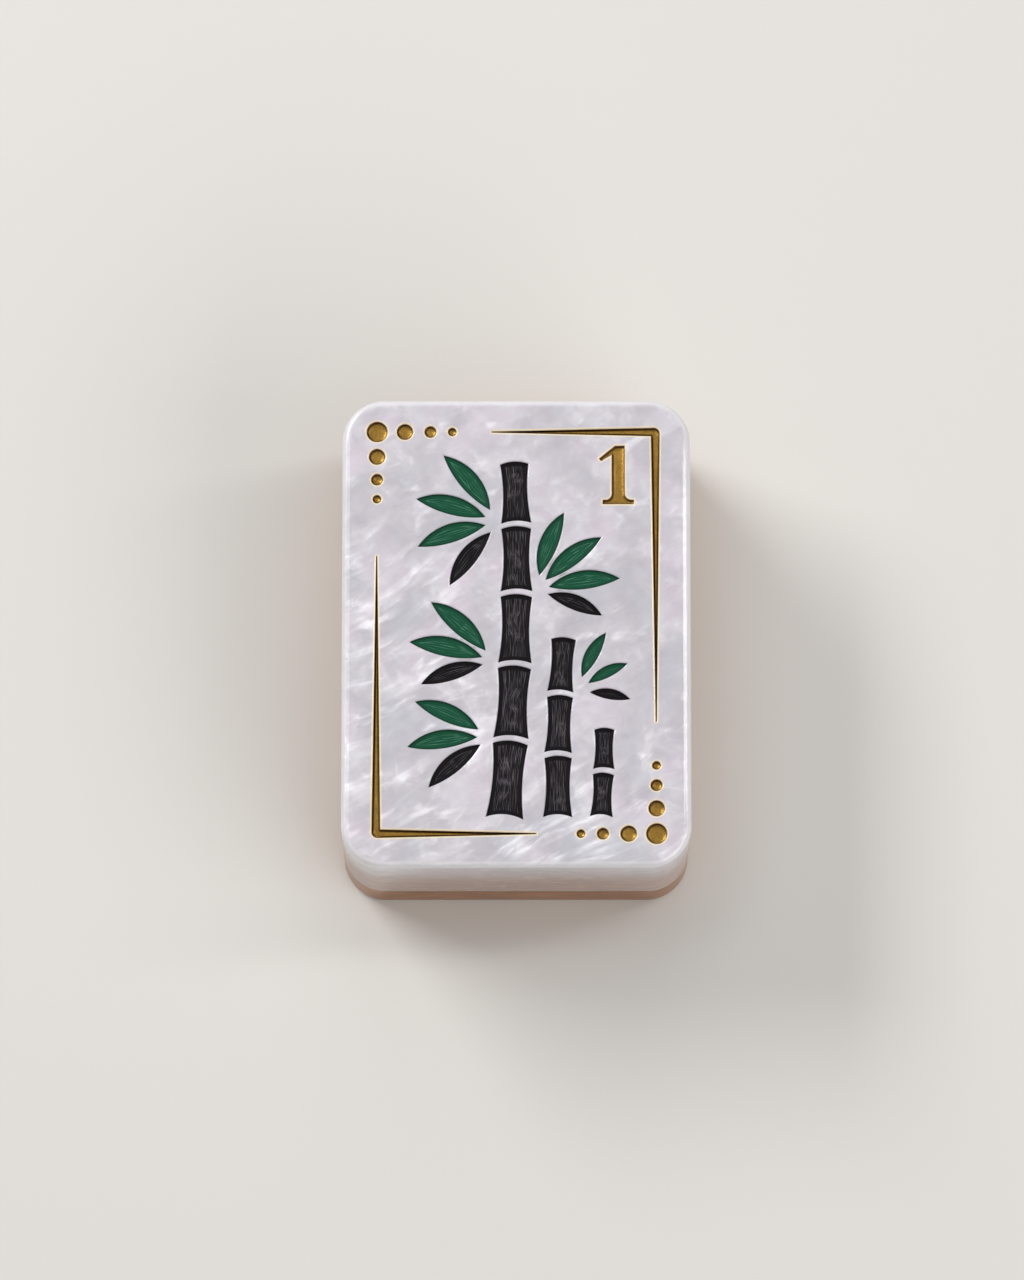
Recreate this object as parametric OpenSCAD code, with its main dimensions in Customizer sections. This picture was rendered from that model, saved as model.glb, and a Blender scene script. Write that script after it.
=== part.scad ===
// Engraved game tile: a thick pearl slab cemented to a thin bronze slab, with paint in engraved pockets.
// It lies on its back: +Z out of the face, +X to the face's right, +Y to the numeral's top.
// The origin is under the middle of the back, and all lengths are millimetres.

/* [Tile] */
// Width of the tile across the face
tile_w = 22; // [18:0.5:30]
// Length of the tile along the face
tile_l = 30; // [26:0.5:42]
// Thickness of the pearl slab that carries the engraving
face_slab_t = 9.2; // [5:0.1:14]
// Thickness of the bronze slab behind it
back_slab_t = 3.7; // [2:0.1:6]
// Thickness of the cement film between the slabs
bond_t = 0.1; // [0.05:0.01:0.2]
// Radius of the four upright corners
corner_r = 2.7; // [1.5:0.1:4]
// Radius of the rounding along the face's edge
face_edge_r = 0.5; // [0.2:0.05:1]
// Radius of the rounding along the back's edge
back_edge_r = 0.5; // [0.2:0.05:1]

/* [Engraving] */
// Depth of the engraved pockets below the face
pocket_depth = 0.5; // [0.3:0.05:0.8]
// Lean of the pockets' curved walls away from upright, in degrees
wall_lean = 14; // [0:1:20]
// How far the paint's surface lies below the face
paint_sink = 0.2; // [0.05:0.01:0.28]

/* [Border] */
// Distance from the tile's long side to the border's middle line
border_side_gap = 2.2; // [1.6:0.1:3]
// Distance from the tile's short end to the border's middle line
border_end_gap = 2.1; // [1.6:0.1:3]
// Width of a corner rule at its corner
rule_w = 0.57; // [0.4:0.01:0.8]
// Width left at a corner rule's pointed ends
rule_tip_w = 0.08; // [0.05:0.01:0.15]
// Radius of a corner rule's outer corner
rule_corner_r = 0.4; // [0.2:0.05:0.5]
// Bare stretch between the upper row's last dot and the tip of the upper rule
upper_row_gap = 2.2; // [1.5:0.1:3.5]
// Bare stretch between the lower row's last dot and the tip of the lower rule
lower_row_gap = 2.5; // [1.5:0.1:3.5]
// Bare stretch between the upper column's last dot and the tip of the lower rule
upper_column_gap = 3.4; // [1.5:0.1:4.5]
// Bare stretch between the lower column's last dot and the tip of the upper rule
lower_column_gap = 2.5; // [1.5:0.1:4.5]
// Diameter of the dot in the corner
corner_dot_d = 1.34; // [1:0.02:1.6]
// Distance from the corner dot to the last dot of its row
dot_row_l = 4.75; // [4:0.05:5.5]
// Distance from the corner dot to the last dot of its column
dot_column_l = 4.35; // [3.8:0.05:5]

/* [Numeral] */
// Height of the numeral
numeral_h = 3.8; // [3:0.1:4.5]
// Width of the numeral's stem
stem_w = 0.84; // [0.6:0.02:1]
// Width of the numeral's foot
foot_w = 2; // [1.7:0.1:2.4]
// Thickness of the numeral's foot
foot_t = 0.3; // [0.2:0.02:0.4]
// Width of the numeral's flag, left of its stem
flag_w = 0.82; // [0.6:0.02:1]
// Distance from the border's middle line to the middle of the stem
numeral_side_gap = 2.35; // [2:0.05:2.8]
// Distance from the border's middle line down to the numeral's top
numeral_top_gap = 0.88; // [0.7:0.02:1.2]

/* [Bamboo] */
// Bare strip left between the border and the picture on each side
picture_gap = 1.3; // [1:0.1:1.8]
// Width of the tall cane at its foot
tall_cane_w = 2.3; // [1.8:0.05:2.7]
// Width of the middle cane at its foot
middle_cane_w = 1.8; // [1.3:0.05:2.1]
// Width of the short cane at its foot
short_cane_w = 1.4; // [1:0.05:1.6]
// Bare line left between two lengths of a cane
cane_gap = 0.32; // [0.2:0.01:0.45]
// Height that an upright leaf would reach above the joint it grows from
spray_h = 5.2; // [4.2:0.1:6]
// Width of a leaf against its length
leaf_w_share = 0.27; // [0.2:0.01:0.32]
// Distance from the point where a spray's leaves would meet to the foot of each leaf
leaf_gap = 0.9; // [0.7:0.05:1.2]
// Distance from a cane's side to that point
spray_gap = 0.12; // [0.05:0.01:0.3]

/* [Hidden] */
$fn = 96;
overrun = 0.5;

tile_t = back_slab_t + bond_t + face_slab_t;
face_z = tile_t;
pocket_z = face_z - pocket_depth;
paint_z = face_z - paint_sink;
over_z = face_z + overrun;

border_x = tile_w / 2 - border_side_gap;
border_y = tile_l / 2 - border_end_gap;
picture_x = border_x - rule_w / 2 - picture_gap;

// Numeral: radius of the foot's brackets against the foot's overhang, the left end of the stem's flat top
// against the stem's width, and the flag's points against its reach and the numeral's height
bracket_share = 0.7;
flat_top_share = 0.25;
flag_shares = [[1, 0.78], [0.8, 0.73], [0, 0.84]];

// Dots: size against the corner dot, and place along the run
dot_size_shares = [1, 0.78, 0.57, 0.42];
dot_place_shares = [0, 0.37, 0.71, 1];
dot_count = len(dot_size_shares);

// Canes: the foot's place on the picture's half width and the border's half length, and the cane's length
// against the border's half length
cane_names = ["tall_cane", "middle_cane", "short_cane"];
cane_widths = [tall_cane_w, middle_cane_w, short_cane_w];
cane_counts = [5, 3, 2];
cane_foot_shares = [[-0.1, -0.905], [0.36, -0.905], [0.74, -0.905]];
cane_length_shares = [1.76, 0.88, 0.43];
// Degrees that the lowest length leans to the right, and that each next length turns to the right
cane_leans = [4.5, 0.5, 3];
cane_turns = [-1.6, 1.6, -2];
// Each next length of a cane against the one below, in length and in width
next_length_share = 0.95;
next_width_share = 0.95;
// Depth of a cane's waist on each side against its width, and radius of its ends against its length
waist_share = 0.085;
end_share = 0.6;

// Sprays of leaves: the cane that each grows from, the joint on it, and the side, 1 right or -1 left
spray_names = ["top_leaf", "right_leaf", "left_leaf", "low_leaf", "side_leaf"];
spray_canes = [0, 0, 0, 0, 1];
spray_joints = [4, 3, 2, 1, 2];
spray_sides = [-1, 1, -1, -1, 1];
// Each leaf's rise in degrees from level, and its length against the spray's reach that way
leaf_degrees = [[50, 15, -18, -53], [69, 38, 7, -22], [42, 12, -18], [24, -8, -40], [62, 27, -10]];
leaf_length_shares = [
    [1, 0.9, 0.9, 0.95], [1, 0.95, 0.9, 0.78], [1, 0.95, 0.85], [0.95, 0.95, 0.95], [0.9, 1, 1]];
// The rise of a leaf's back against its width
leaf_back_share = 0.66;

function numbered(name, count) = [for (i = [1:count]) str(name, "_", i)];
function joined(lists) = [for (list = lists) each list];

corners = ["upper", "lower"];
dot_names = joined([for (c = corners) concat(
    [str(c, "_corner_dot")], numbered(str(c, "_row_dot"), dot_count - 1),
    numbered(str(c, "_column_dot"), dot_count - 1))]);

// Slabs

// Half of a slab's end-on outline, from 0 out to its reach and up to its thickness, with a round outer edge
module edge_profile(reach, thickness, edge_r) {
    square([reach - edge_r, thickness]);
    square([reach, thickness - edge_r]);
    translate([reach - edge_r, thickness - edge_r]) circle(edge_r);
}

// Both halves of that outline
module both_ways(reach, thickness, edge_r) {
    edge_profile(reach, thickness, edge_r);
    mirror([1, 0]) edge_profile(reach, thickness, edge_r);
}

// A slab standing on 0 with upright round corners and a rounded upper edge
module slab(thickness, edge_r) {
    rotate([90, 0, 0]) linear_extrude(tile_l - 2 * corner_r, center = true)
        both_ways(tile_w / 2, thickness, edge_r);
    rotate([90, 0, 90]) linear_extrude(tile_w - 2 * corner_r, center = true)
        both_ways(tile_l / 2, thickness, edge_r);
    for (x = [-1, 1], y = [-1, 1])
        translate([x * (tile_w / 2 - corner_r), y * (tile_l / 2 - corner_r)])
            rotate_extrude() edge_profile(corner_r, thickness, edge_r);
}

module face_slab() {
    color("gainsboro") difference() {
        translate([0, 0, back_slab_t + bond_t]) slab(face_slab_t, face_edge_r);
        numeral(over_z);
        for (c = [0:len(corners) - 1]) corner_rule(c, over_z);
        for (i = [0:len(dot_names) - 1]) dot(i, over_z);
        for (k = [0:len(cane_names) - 1], i = [0:cane_counts[k] - 1]) cane_length(k, i, over_z);
        for (s = [0:len(spray_names) - 1], i = [0:len(leaf_degrees[s]) - 1]) leaf(s, i, over_z);
    }
}

module bond_film() {
    color("lightgray") translate([0, 0, back_slab_t]) linear_extrude(bond_t) {
        square([tile_w - 2 * corner_r, tile_l], center = true);
        square([tile_w, tile_l - 2 * corner_r], center = true);
        for (x = [-1, 1], y = [-1, 1])
            translate([x * (tile_w / 2 - corner_r), y * (tile_l / 2 - corner_r)]) circle(corner_r);
    }
}

module back_slab() {
    color("peru") translate([0, 0, back_slab_t]) mirror([0, 0, 1]) slab(back_slab_t, back_edge_r);
}

// Pockets and the paint in them: each form runs from the pocket's floor up to the height given as top

// A disc whose wall leans outward on the way up: the region inside it is engraved
module inside(r, top) {
    slope = tan(wall_lean);
    translate([0, 0, pocket_z])
        cylinder(h = top - pocket_z, r1 = r - slope * pocket_depth, r2 = r + slope * (top - face_z));
}

// A disc whose wall leans inward on the way up, with some overrun: the region outside it is engraved
module outside(r, top) {
    slope = tan(wall_lean);
    translate([0, 0, pocket_z - overrun])
        cylinder(h = top - pocket_z + 2 * overrun, r1 = r + slope * (pocket_depth + overrun),
            r2 = r - slope * (top + overrun - face_z));
}

// Radius of the arc over a chord with a given rise
function arc_r(chord, rise) = (chord * chord / 4 + rise * rise) / (2 * rise);

// Dots
module dot(i, top) {
    lower = i >= 2 * dot_count - 1;
    n = i % (2 * dot_count - 1);
    step = n < dot_count ? n : n - dot_count + 1;
    along = n < dot_count ? [dot_row_l, 0] : [0, -dot_column_l];
    place = [-border_x, border_y] + along * dot_place_shares[step];
    translate(lower ? -place : place) inside(corner_dot_d / 2 * dot_size_shares[step], top);
}

// One arm of a corner rule from its corner along +X, narrowing to its tip
module rule_arm(run) {
    polygon([[0, -rule_w / 2], [run, -rule_tip_w / 2], [run, rule_tip_w / 2], [0, rule_w / 2]]);
}

// A corner rule, drawn for the upper right corner and turned for the lower left one: its two arms run along
// the border until they near the last dots of the row and column that start at the other corners
module corner_rule(c, top) {
    last_dot_r = corner_dot_d / 2 * dot_size_shares[dot_count - 1];
    run = 2 * border_x - dot_row_l - last_dot_r - [upper_row_gap, lower_row_gap][c];
    drop = 2 * border_y - dot_column_l - last_dot_r - [lower_column_gap, upper_column_gap][c];
    arc_at = rule_w / 2 - rule_corner_r;
    rotate(180 * c) translate([border_x, border_y, pocket_z]) linear_extrude(top - pocket_z) {
        difference() {
            union() {
                square(rule_w, center = true);
                rotate(180) rule_arm(run);
                rotate(-90) rule_arm(drop);
            }
            translate([arc_at, arc_at]) difference() {
                square(rule_corner_r + overrun);
                circle(rule_corner_r);
            }
        }
    }
}

// The numeral: a stem with a slanted flag at its top and a bracketed foot
module numeral(top) {
    bracket_r = bracket_share * (foot_w - stem_w) / 2;
    translate([border_x - numeral_side_gap, border_y - numeral_top_gap - numeral_h, pocket_z])
        linear_extrude(top - pocket_z) {
            translate([-stem_w / 2, 0]) square([stem_w, numeral_h]);
            translate([-foot_w / 2, 0]) square([foot_w, foot_t]);
            for (side = [0, 1]) mirror([side, 0]) translate([stem_w / 2, foot_t]) difference() {
                square(bracket_r);
                translate([bracket_r, bracket_r]) circle(bracket_r);
            }
            polygon(concat(
                [[stem_w / 2, numeral_h], [-stem_w * flat_top_share, numeral_h]],
                [for (p = flag_shares) [-stem_w / 2 - flag_w * p.x, numeral_h * p.y]]));
        }
}

// Canes: the lowest length is worked out so that all lengths with their gaps make up the cane
function first_length(k) = let (n = cane_counts[k])
    (cane_length_shares[k] * border_y - (n - 1) * cane_gap) * (1 - next_length_share)
    / (1 - pow(next_length_share, n));
function length_of(k, i) = first_length(k) * pow(next_length_share, i);
function width_of(k, i) = cane_widths[k] * pow(next_width_share, i);
function heading_of(k, i) = 90 - cane_leans[k] - i * cane_turns[k];
function foot_of(k, i) = i == 0
    ? [cane_foot_shares[k].x * picture_x, cane_foot_shares[k].y * border_y]
    : foot_of(k, i - 1) + (length_of(k, i - 1) + cane_gap)
        * [cos(heading_of(k, i - 1)), sin(heading_of(k, i - 1))];

// One length of a cane: a crowned top, a foot hollowed to match the crown below it, and waisted sides
module cane_length(k, i, top) {
    l = length_of(k, i);
    w = width_of(k, i);
    end_r = end_share * l;
    below_r = i == 0 ? end_r : end_share * length_of(k, i - 1) + cane_gap;
    waist = waist_share * w;
    side_r = arc_r(l, waist);
    translate(foot_of(k, i)) rotate(heading_of(k, i) - 90) difference() {
        translate([0, l - end_r]) inside(end_r, top);
        translate([0, -below_r]) outside(below_r, top);
        for (side = [-1, 1]) translate([side * (w / 2 - waist + side_r), l / 2]) outside(side_r, top);
    }
}

// One leaf of a spray: two arcs from its foot to its tip, which lies on an ellipse about the meeting point
// that reaches out to the picture's side and up by the spray's rise
module leaf(s, i, top) {
    joint = foot_of(spray_canes[s], spray_joints[s]);
    cane_w = width_of(spray_canes[s], spray_joints[s]);
    side = spray_sides[s];
    rise = leaf_degrees[s][i];
    meeting = joint + [side * (cane_w / 2 + spray_gap), 0];
    room = picture_x - side * meeting.x;
    reach = 1 / norm([cos(rise) / room, sin(rise) / spray_h]);
    l = reach * leaf_length_shares[s][i] - leaf_gap;
    back = l * leaf_w_share * leaf_back_share;
    belly = l * leaf_w_share - back;
    translate(meeting) mirror([side < 0 ? 1 : 0, 0]) rotate(rise) translate([leaf_gap + l / 2, 0])
        intersection() {
            translate([0, back - arc_r(l, back)]) inside(arc_r(l, back), top);
            translate([0, arc_r(l, belly) - belly]) inside(arc_r(l, belly), top);
        }
}

face_slab();
bond_film();
back_slab();
color("goldenrod") numeral(paint_z);  // numeral_one
for (c = [0:len(corners) - 1]) color("goldenrod") corner_rule(c, paint_z);
for (i = [0:len(dot_names) - 1]) color("goldenrod") dot(i, paint_z);
for (k = [0:len(cane_names) - 1], i = [0:cane_counts[k] - 1])
    color("black") cane_length(k, i, paint_z);
for (s = [0:len(spray_names) - 1], i = [0:len(leaf_degrees[s]) - 1])
    color(i < len(leaf_degrees[s]) - 1 ? "seagreen" : "black") leaf(s, i, paint_z);
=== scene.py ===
import math

import bmesh
import bpy
import numpy as np
from bpy.props import FloatProperty, FloatVectorProperty, IntProperty, PointerProperty
from mathutils import Matrix, Vector
from mathutils.geometry import delaunay_2d_cdt


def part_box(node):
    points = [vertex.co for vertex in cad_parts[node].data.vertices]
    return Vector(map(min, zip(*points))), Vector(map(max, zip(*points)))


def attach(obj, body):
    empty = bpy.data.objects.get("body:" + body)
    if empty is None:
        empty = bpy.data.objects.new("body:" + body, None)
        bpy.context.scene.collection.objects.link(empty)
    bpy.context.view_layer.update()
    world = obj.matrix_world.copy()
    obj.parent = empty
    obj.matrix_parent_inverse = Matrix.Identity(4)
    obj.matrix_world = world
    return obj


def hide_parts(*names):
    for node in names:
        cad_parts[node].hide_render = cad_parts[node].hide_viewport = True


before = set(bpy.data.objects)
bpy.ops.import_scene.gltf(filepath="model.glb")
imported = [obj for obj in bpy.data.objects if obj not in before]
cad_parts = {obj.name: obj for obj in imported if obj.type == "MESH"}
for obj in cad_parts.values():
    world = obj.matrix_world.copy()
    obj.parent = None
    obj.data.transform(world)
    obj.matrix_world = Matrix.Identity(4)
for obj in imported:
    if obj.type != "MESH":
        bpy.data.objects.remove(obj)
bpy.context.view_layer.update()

bl_info = {
    "name": "Engraved Pearl Tile",
    "version": (1, 0, 0),
    "blender": (4, 5, 0),
    "location": "3D View > Sidebar > Tile",
    "description": "Builds a laminated game tile with engraved, painted pockets, and a small studio for it",
    "category": "Add Mesh",
}

MM = 0.001
FACE_LOW, FACE_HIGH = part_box("face_slab")
BACK_LOW, BACK_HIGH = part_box("back_slab")
PAINT_LOW, PAINT_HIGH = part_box("upper_corner_dot")

CORNERS = ("upper", "lower")
CANE_NAMES = ("tall_cane", "middle_cane", "short_cane")
CANE_COUNTS = (5, 3, 2)
SPRAY_NAMES = ("top_leaf", "right_leaf", "left_leaf", "low_leaf", "side_leaf")
DOT_NAMES = ("corner_dot", *(f"{line}_dot_{i}" for line in ("row", "column") for i in (1, 2, 3)))

# Places and proportions of the canes and leaves, each against the size that it follows
CANE_FOOT_SHARES = ((-0.1, -0.905), (0.36, -0.905), (0.74, -0.905))
CANE_LENGTH_SHARES = (1.76, 0.88, 0.43)
CANE_LEANS = (4.5, 0.5, 3)
CANE_TURNS = (-1.6, 1.6, -2)
NEXT_LENGTH_SHARE = 0.95
NEXT_WIDTH_SHARE = 0.95
WAIST_SHARE = 0.085
END_SHARE = 0.6
SPRAY_CANES = (0, 0, 0, 0, 1)
SPRAY_JOINTS = (4, 3, 2, 1, 2)
SPRAY_SIDES = (-1, 1, -1, -1, 1)
LEAF_DEGREES = ((50, 15, -18, -53), (69, 38, 7, -22), (42, 12, -18), (24, -8, -40), (62, 27, -10))
LEAF_LENGTH_SHARES = (
    (1, 0.9, 0.9, 0.95), (1, 0.95, 0.9, 0.78), (1, 0.95, 0.85), (0.95, 0.95, 0.95), (0.9, 1, 1))
LEAF_BACK_SHARE = 0.66

# Numeral: the foot's brackets against its overhang, the left end of the stem's top, and the flag's points
BRACKET_SHARE = 0.7
FLAT_TOP_SHARE = 0.25
FLAG_SHARES = ((1, 0.78), (0.8, 0.73), (0, 0.84))

# Points along the rounding of a slab's upper edge, of its lower edge and of a pocket's rim
EDGE_STEPS = 17
FOOT_STEPS = 13
RIM_STEPS = 7
# The painted highlight along a slab's rounded edge, against the edge's radius: the depth over which it comes
# in, the rings below the edge that carry its end, and the depth over which it fades by e
EDGE_SHARE = 0.12
FADE_RINGS = (0.3, 0.8, 1.6, 3, 5)
FADE_SHARE = 2
# Rings across a pool of paint, away from its wall, against the width over which the paint climbs the wall.
# The last two lie at the paint's level.
POOL_RINGS = (0, 0.15, 0.35, 0.6, 0.95, 1.4, 2, 2.8, 2.9)
# Thickness of the level sheets of flakes in the pearl, against their width
SHEET_SHARE = 0.15

# Ranges that the engraved strokes are drawn from. Starts, reaches, middles and shifts are shares of a form's
# length, a group's line is a share of its breadth, and a place in line is a share of one line's own strip.
# A lean is the share of the breadth that a whole length would cross. Waves are radians along the form.
# Widths and depths are against the pockets' own stroke width and depth.
STROKES = {
    "first start": (-0.4, 0), "reach": (0.25, 0.7), "place in line": (0.3, 0.7), "lean": (-0.05, 0.05),
    "group middle": (0.1, 0.9), "group line": (0, 0.6), "group lean": (0.7, 1.3), "group reach": (0.1, 0.2),
    "shift": (-0.01, 0.01), "waves": (9, 20), "first wave": (0, 6), "width": (0.7, 1.2), "depth": (0.4, 1),
}
# The last place where a stroke may start, the next start against the stroke's reach, the lines for each group
# of slanted strokes, the strokes in a group, and the height of a line's waves against the breadth
LAST_START = 0.9
NEXT_START_SHARE = 0.95
LINES_TO_A_GROUP = 3
GROUP_STROKES = 6
WAVE_SHARE = 0.008

# A plain slab's guard against the face's, and the radius of the film's roundings against its thickness
PLAIN_GUARD_SHARE = 0.25
FILM_ROUNDING_SHARE = 0.25
# Distances within which points and edges close up, in metres, and the turn from which an edge is sharp
WELD_REACH = 1e-7
SPECK_REACH = 1e-8
MEETING_REACH = 1e-9
SHARP_TURN = math.radians(40)
# Which triangles Blender's triangulation returns: those inside the outlines
INSIDE_ONLY = 1
# Furthest that a piece may lie from its node's box, seen from above
FIT_TOLERANCE = 0.12 * MM
# Heights between which the pearl's darker, warm foot thins out, in millimetres: partly a tint near the
# bronze, partly painted shade and painted warm reflection
FOOT_TINT_AND_SHADE_HEIGHTS = (6.8, 12.4)

# Each lamp's direction from the tile and its size, and the distance of all of them, in metres
LAMPS = {
    "key": ((-0.62, 0.5, 0.6), (0.12, 0.24)),
    "strip": ((0.5, 0.2, 0.85), (0.37, 0.042)),
    "side": ((-0.26, 0.2, 0.94), (0.13, 0.12)),
    "top": ((0, 0.72, 0.7), (0.2, 0.4)),
    "corner": ((0.62, -0.56, 0.55), (0.26, 0.5)),
}
LAMP_DISTANCE = 0.45
# Lines of the floor's grid each way, and the nearest and furthest that the camera sees, in metres
FLOOR_LINES = 41
CLIP_RANGE = (0.01, 10)


def in_metres(name, description, metres, **limits):
    """A size or place in metres, such as the frame gives."""
    return FloatProperty(name=name, description=description, default=metres, precision=6,
                         subtype="DISTANCE", unit="LENGTH", **limits)


def length(name, description, millimetres):
    """A size that a user may change, given here in millimetres."""
    return in_metres(name, description, millimetres * MM, min=0)


def angle(name, description, degrees, highest):
    """An angle that a user may change, given here in degrees."""
    return FloatProperty(name=name, description=description, default=math.radians(degrees), min=0,
                         max=math.radians(highest), subtype="ANGLE")


def colour(name, description, red, green, blue):
    """A colour that a user may change, as linear red, green and blue."""
    return FloatVectorProperty(name=name, description=description, default=(red, green, blue), size=3,
                               min=0, max=1, subtype="COLOR")


def amount(name, description, default, highest=1):
    """A plain number that a user may change."""
    return FloatProperty(name=name, description=description, default=default, min=0, max=highest)


class SlabSizes(bpy.types.PropertyGroup):
    width: in_metres("Width", "Width across the face", FACE_HIGH.x - FACE_LOW.x)
    height: in_metres("Length", "Length along the face", FACE_HIGH.y - FACE_LOW.y)
    face_z: in_metres("Face", "Height of the face above the back", FACE_HIGH.z)
    seam_high: in_metres("Top of the seam", "Height of the pearl slab's lower side", FACE_LOW.z)
    seam_low: in_metres("Foot of the seam", "Height of the bronze slab's upper side", BACK_HIGH.z)
    back_z: in_metres("Back", "Height of the back", BACK_LOW.z)
    corner_radius: length("Corner radius", "Radius of the four upright corners", 2.7)
    edge_radius: length("Edge radius", "Radius of the rounding along the outer edges", 0.5)
    seam_radius: length("Seam radius", "Radius of the fine rounding along the seam", 0.04)


class PocketSizes(bpy.types.PropertyGroup):
    floor_z: in_metres("Pocket floor", "Height of the pockets' floor", PAINT_LOW.z)
    paint_z: in_metres("Paint level", "Height of the paint's flat surface", PAINT_HIGH.z)
    wall_lean: angle("Wall lean", "Lean of the pockets' walls away from upright", 14, 20)
    rim_radius: length("Rim radius", "Radius of the rounding where a pocket opens in the face", 0.1)
    guard: length("Guard", "Flat strip kept beside each rounding, which keeps the face flat up to it", 0.03)
    gold_climb: length("Gold climb", "Distance over which the gold paint curves up to the wall", 0.15)
    enamel_climb: length("Enamel climb", "The same for the black and the green paint", 0.085)
    # Painted shade along the gold pockets' walls: its width, and its drift toward the near right, which
    # widens it on the far left
    wall_shade_width: length("Wash width", "Distance over which the dark wash by a gold pocket's wall thins", 0.13)
    wall_shade_drift: length("Wash drift", "How far the wash has drifted toward the near right", 0.055)
    pool_step: length("Pool step", "Distance between points of the numeral's paint", 0.045)
    stroke_width: length("Stroke width", "Width of the fine strokes engraved in the paint", 0.045)
    stroke_depth: length("Stroke depth", "Depth of those strokes", 0.025)


class BorderSizes(bpy.types.PropertyGroup):
    rule_width: length("Rule width", "Width of a corner rule at its corner", 0.57)
    rule_tip: length("Rule tip", "Width left at a corner rule's pointed ends", 0.08)
    rule_corner: length("Rule corner", "Radius of a corner rule's outer corner", 0.4)
    stem_width: length("Stem width", "Width of the numeral's stem", 0.84)
    foot_width: length("Foot width", "Width of the numeral's foot", 2)
    foot_thickness: length("Foot thickness", "Thickness of the numeral's foot", 0.3)
    flag_width: length("Flag width", "Width of the numeral's flag, left of its stem", 0.82)


class BambooSizes(bpy.types.PropertyGroup):
    picture_gap: length("Picture gap", "Bare strip between the border and the picture", 1.3)
    tall_width: length("Tall cane", "Width of the tall cane at its foot", 2.3)
    middle_width: length("Middle cane", "Width of the middle cane at its foot", 1.8)
    short_width: length("Short cane", "Width of the short cane at its foot", 1.4)
    cane_gap: length("Cane gap", "Bare line between two lengths of a cane", 0.32)
    spray_height: length("Spray height", "Height that an upright leaf would reach above its joint", 5.2)
    leaf_width_share: amount("Leaf width", "Width of a leaf against its length", 0.27)
    leaf_gap: length("Leaf gap", "Distance from the point where leaves would meet to each leaf's foot", 0.9)
    spray_gap: length("Spray gap", "Distance from a cane's side to that point", 0.12)
    stroke_pitch: length("Stroke pitch", "Mean distance between two engraved lines", 0.135)
    seed: IntProperty(name="Seed", description="Start of the random strokes", default=11)


class FinishColours(bpy.types.PropertyGroup):
    pearl_shade: colour("Pearl shade", "Darker ground of the pearl slab", 0.44, 0.41, 0.455)
    pearl_light: colour("Pearl light", "Bright wisps of the pearl slab", 0.83, 0.81, 0.86)
    # Painted highlight along the rounded edges of the slabs
    pearl_edge_highlight: colour("Pearl edge", "Paler pearl along the rounded edges", 0.83, 0.81, 0.84)
    # Painted reflection of the gold on the pearl rims round the gold pockets
    gold_rim_reflection: colour("Gilt", "Film of gold left on the rims of the gold pockets", 0.84, 0.70, 0.46)
    pearl_rose: colour("Pearl rose", "Rose tint that drifts through the pearl", 0.62, 0.50, 0.60)
    pearl_sea: colour("Pearl sea", "Blue-green tint that drifts through the pearl", 0.50, 0.58, 0.62)
    pearl_calm: colour("Pearl calm", "Even pearl that the pattern fades to near the foot", 0.62, 0.595, 0.62)
    # Darkens the pearl's foot: partly a warm tint near the bronze, partly painted shade and painted warm
    # reflection
    pearl_foot_tint_and_shade: colour("Pearl base", "Warm tint that the bronze lends the pearl's foot", 0.70, 0.52, 0.41)
    bronze_light: colour("Bronze light", "Bright flakes and clouds of the bronze slab", 0.62, 0.30, 0.095)
    bronze_shade: colour("Bronze shade", "Darker ground of the bronze slab", 0.18, 0.065, 0.018)
    cement: colour("Cement", "Cured cement between the slabs", 0.42, 0.33, 0.26)
    gold: colour("Gold", "Gold paint", 0.245, 0.143, 0.027)
    # Darker gold: partly a random tone of the powder, partly painted shade along the gold pockets' walls
    gold_dark_tone_and_shade: colour("Gold edge", "Dark wash along the walls of the gold pockets", 0.035, 0.013, 0.002)
    black: colour("Black", "Black paint", 0.005, 0.004, 0.005)
    # Paler colour: painted highlight on the stroke floors, and the paler grain of the paint
    black_highlight_and_grain: colour("Black stroke", "Strokes engraved in the black paint", 0.2, 0.18, 0.205)
    green: colour("Green", "Green paint", 0.009, 0.074, 0.038)
    green_highlight_and_grain: colour("Green stroke", "Strokes engraved in the green paint", 0.16, 0.38, 0.27)
    # Painted shade where the green paint meets a pocket's wall
    green_wall_shade: colour("Green edge", "Green paint where it thins at a wall", 0.004, 0.026, 0.014)


class StudioSettings(bpy.types.PropertyGroup):
    aim_x: in_metres("Aim X", "Point of the face that the camera looks at, across", -0.265 * MM)
    aim_y: in_metres("Aim Y", "Point of the face that the camera looks at, along", -0.535 * MM)
    distance: length("Distance", "Distance from the camera to that point", 515)
    tilt: angle("Tilt", "Tilt of the camera away from straight down", 11.38, 90)
    lens: FloatProperty(name="Lens", description="Focal length of the camera", default=230.1, min=1,
                        subtype="DISTANCE_CAMERA", unit="CAMERA")
    floor_size: length("Floor size", "Side of the floor", 6000)
    floor_colour: colour("Floor colour", "Colour of the floor", 0.74, 0.72, 0.685)
    backdrop: colour("Backdrop", "Colour of the background above the floor", 0.86, 0.85, 0.83)
    world_level: amount("World level", "Strength of the soft light from all round", 0.25, 10)
    key_level: amount("Key level", "Power of the lamp at the far left, in watts", 1.15, 100)
    strip_level: amount("Strip level", "Power of the strip lamp above the right side, in watts", 0.36, 100)
    side_level: amount("Side level", "Power of the lamp above the left side, in watts", 0.14, 100)
    top_level: amount("Top level", "Power of the lamp beyond the far end, in watts", 0.2, 100)
    corner_level: amount("Corner level", "Power of the wide lamp at the near right, in watts", 0.9, 100)


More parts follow.
